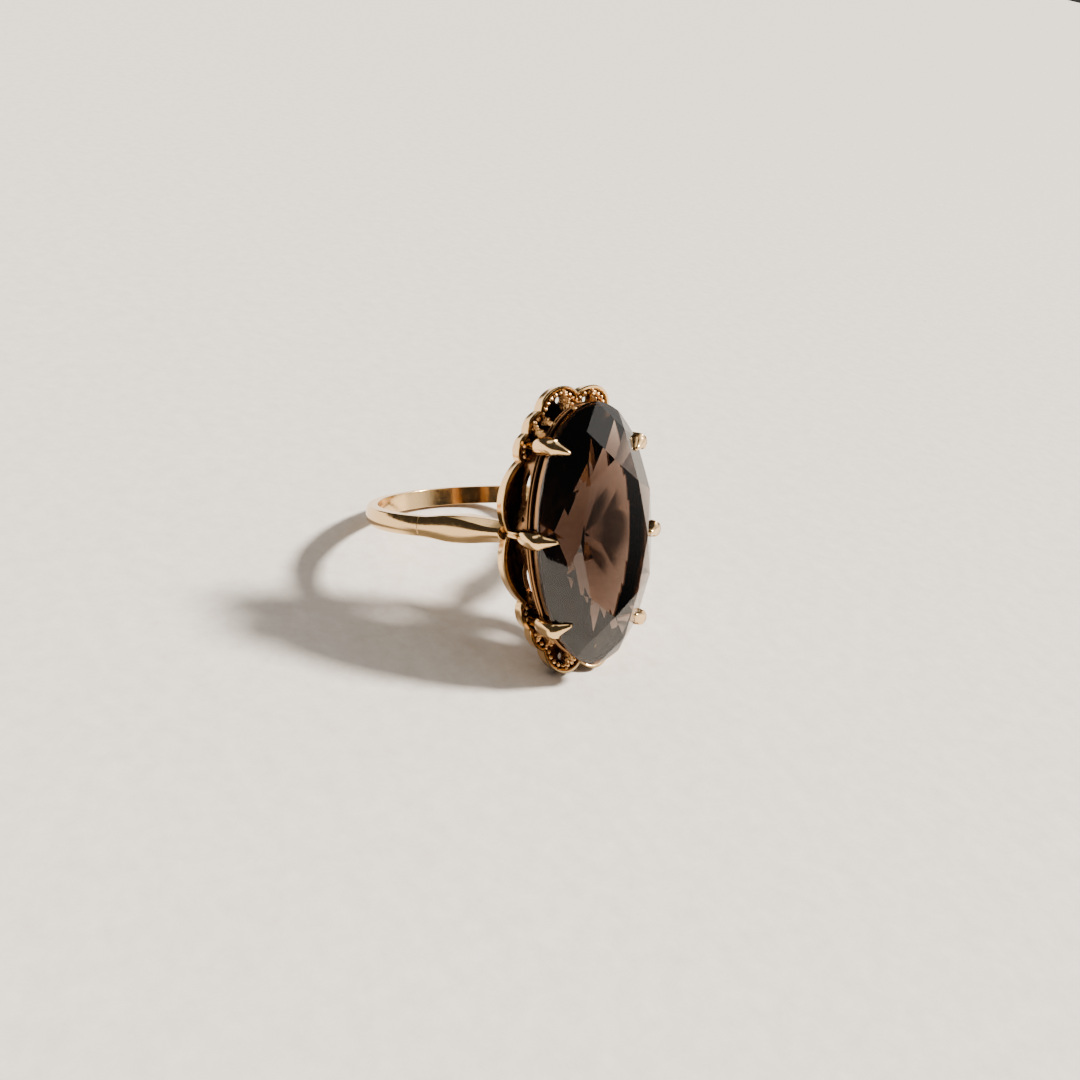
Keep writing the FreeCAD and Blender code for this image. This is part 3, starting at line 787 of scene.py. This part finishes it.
def make_stone():
    """An oval brilliant, its facets laid out on a unit circle and stretched to the oval."""
    half_width, half_length = STONE_WIDTH / 2, STONE_LENGTH / 2
    upper_rim = GIRDLE_LEVEL + GIRDLE_THICKNESS / 2
    lower_rim = GIRDLE_LEVEL - GIRDLE_THICKNESS / 2
    step = math.radians(45)
    star_radius = (1 - STAR_SHARE * (1 - TABLE_RATIO)) / math.cos(step / 2)
    lower_radius = (1 - LOWER_SHARE) / math.cos(step / 2)
    middle = Vector((GIRDLE_LEVEL, 0, 0))

    def at(radius, azimuth, level):
        across = half_width * radius * math.cos(azimuth)
        along = half_length * radius * math.sin(azimuth)
        return Vector((level, across, along))

    culet = at(0, 0, lower_rim - PAVILION_DEPTH)
    table_level = upper_rim + CROWN_HEIGHT
    star_level = upper_rim + STAR_SHARE * CROWN_HEIGHT
    lower_level = lower_rim - LOWER_SHARE * PAVILION_DEPTH
    far = math.sqrt(2)
    rims = []
    for level in (culet.x, table_level):
        rim = [at(1, math.tau * i / GIRDLE_STEPS, level) for i in range(GIRDLE_STEPS)]
        rims.append([tuple(point) for point in rim])
    blank = loft(rims)
    shape = bmesh.new()
    shape.from_mesh(blank)
    for k in range(8):
        main = k * step
        beside = main + step
        facets = [
            [at(1, main, upper_rim), at(far, beside, upper_rim), at(TABLE_RATIO, main, table_level)],
            [at(1, main, lower_rim), at(far, beside, lower_rim), culet],
            [
                at(TABLE_RATIO, main, table_level), at(TABLE_RATIO, beside, table_level),
                at(star_radius, main + step / 2, star_level),
            ],
        ]
        for edge in (main - step / 2, main + step / 2):
            star_tip = at(star_radius, edge, star_level)
            facets.append([at(1, main, upper_rim), at(1, edge, upper_rim), star_tip])
            lower_tip = at(lower_radius, edge, lower_level)
            facets.append([at(1, main, lower_rim), at(1, edge, lower_rim), lower_tip])
        for facet in facets:
            grind(shape, facet, middle)
    bmesh.ops.recalc_face_normals(shape, faces=shape.faces)
    stone = bpy.data.meshes.new("stone")
    shape.to_mesh(stone)
    shape.free()
    add_piece("stone", stone, smoky_quartz(), ["stone"], sharp_angle=4)


# ---------------------------------------------------------------- floor, light and camera


def make_floor():
    mesh = bpy.data.meshes.new("floor")
    reach, level = 4.0, cad_box[0].z
    corners = [(-reach, -reach), (reach, -reach), (reach, reach), (-reach, reach)]
    mesh.from_pydata([(x, y, level) for x, y in corners], [], [(0, 1, 2, 3)])
    floor = bpy.data.objects.new("floor", mesh)
    bpy.context.scene.collection.objects.link(floor)
    material, nodes = new_material("pale floor")
    tone = nodes.ramp(nodes.noise(700, 6.0, 0.7), (0.3, (0.74, 0.68, 0.61)), (0.7, (0.88, 0.84, 0.78)))
    shader = nodes.add("ShaderNodeBsdfPrincipled", Base_Color=tone, Roughness=0.85)
    output = nodes.add("ShaderNodeOutputMaterial")
    nodes.tree.links.new(shader.outputs[0], output.inputs["Surface"])
    mesh.materials.append(material)


def compass(azimuth, height):
    a, e = math.radians(azimuth), math.radians(height)
    return Vector((math.sin(a) * math.cos(e), -math.cos(a) * math.cos(e), math.sin(e)))


def make_sun(name, strength, colour, direction, spread):
    data = bpy.data.lights.new(name, "SUN")
    data.energy = strength
    data.color = colour
    data.angle = math.radians(spread)
    sun = bpy.data.objects.new(name, data)
    bpy.context.scene.collection.objects.link(sun)
    sun.location = direction
    sun.rotation_euler = (-direction).to_track_quat("-Z", "Y").to_euler()


def sky_patch(nodes, place, towards, inner, outer, glow):
    """A round bright patch of sky, given by the cosines at its full and its faded edge."""
    lean = nodes.add("ShaderNodeVectorMath", {"operation": "DOT_PRODUCT"}, _0=place, _1=tuple(towards))
    return nodes.add(
        "ShaderNodeMapRange", {"interpolation_type": "SMOOTHSTEP"},
        Value=lean.outputs["Value"], _1=outer, _2=inner, _3=0.0, _4=glow,
    ).outputs[0]


# Strength of the dark room round the two windows.
ROOM_GLOW = 0.055


def make_lights():
    """A warm key from behind on the right, and a dark room with two soft windows: a wide pale one
    behind the ring and a small one high on the left, which give the gold its deep contrasts."""
    make_sun("key", strength=11.0, colour=(1.0, 0.93, 0.84), direction=compass(163, 40), spread=8.0)
    world = bpy.data.worlds.new("studio")
    bpy.context.scene.world = world
    world.use_nodes = True
    nodes = Nodes(world.node_tree)
    place = nodes.add("ShaderNodeTexCoord").outputs["Generated"]
    behind = sky_patch(nodes, place, compass(165, 30), inner=0.9, outer=0.7, glow=1.5)
    aloft = sky_patch(nodes, place, compass(300, 62), inner=0.95, outer=0.86, glow=1.4)
    windows = nodes.add("ShaderNodeMath", {"operation": "ADD"}, _0=behind, _1=aloft)
    glow = nodes.add("ShaderNodeMath", {"operation": "ADD"}, _0=windows.outputs[0], _1=ROOM_GLOW)
    sky = nodes.add("ShaderNodeBackground", Color=(1.0, 0.94, 0.87, 1), Strength=glow.outputs[0])
    output = nodes.add("ShaderNodeOutputWorld")
    nodes.tree.links.new(sky.outputs[0], output.inputs["Surface"])


# The camera's turn from the across axis, its height over the ring's plane, its roll, its sideways
# and upward offsets and its distance, all in the ring's frame.
CAMERA = {
    "turn": 31.46, "height": 9.85, "roll": -0.69, "aside": 3.92, "above": -2.41, "distance": 91.7,
    "lens": 39, "sensor": 36, "nearest": 0.005,
}


def make_camera():
    turn, height, roll = (math.radians(CAMERA[key]) for key in ("turn", "height", "roll"))
    aside = Vector((math.sin(turn), math.cos(turn), 0))
    level = Vector((math.cos(turn), -math.sin(turn), 0))
    finger = Vector((0, 0, 1))
    towards = level * math.cos(height) + finger * math.sin(height)
    upward = finger * math.cos(height) - level * math.sin(height)
    right = aside * math.cos(roll) + upward * math.sin(roll)
    top = upward * math.cos(roll) - aside * math.sin(roll)
    place = right * CAMERA["aside"] + top * CAMERA["above"] + towards * CAMERA["distance"]
    lean = Matrix.Rotation(-LEAN, 3, "Y")
    turned = lean @ Matrix((right, top, towards)).transposed()
    data = bpy.data.cameras.new("camera")
    data.lens = CAMERA["lens"]
    data.sensor_width = CAMERA["sensor"]
    data.clip_start = CAMERA["nearest"]
    camera = bpy.data.objects.new("camera", data)
    bpy.context.scene.collection.objects.link(camera)
    camera.matrix_world = Matrix.Translation(lean @ place * MM) @ turned.to_4x4()
    bpy.context.scene.camera = camera


# ---------------------------------------------------------------- the whole ring


def dress_base_plate():
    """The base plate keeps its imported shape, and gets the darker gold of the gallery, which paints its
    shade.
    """
    materials = frame["nodes"]["base_plate"].data.materials
    materials.clear()
    materials.append(shade_darkened)


make_shank_back()
for side_name, side in SIDES.items():
    make_shoulder(side_name, side)
make_walls()
make_bead_rows()
make_ribs()
make_basket()
make_bearer_wires()
make_seat_ring()
for row_name, row in ROWS.items():
    for side_name, side in SIDES.items():
        make_claw("claw_%s_%s" % (side_name, row_name), row, side)
make_stone()
dress_base_plate()
make_floor()
make_lights()
make_camera()
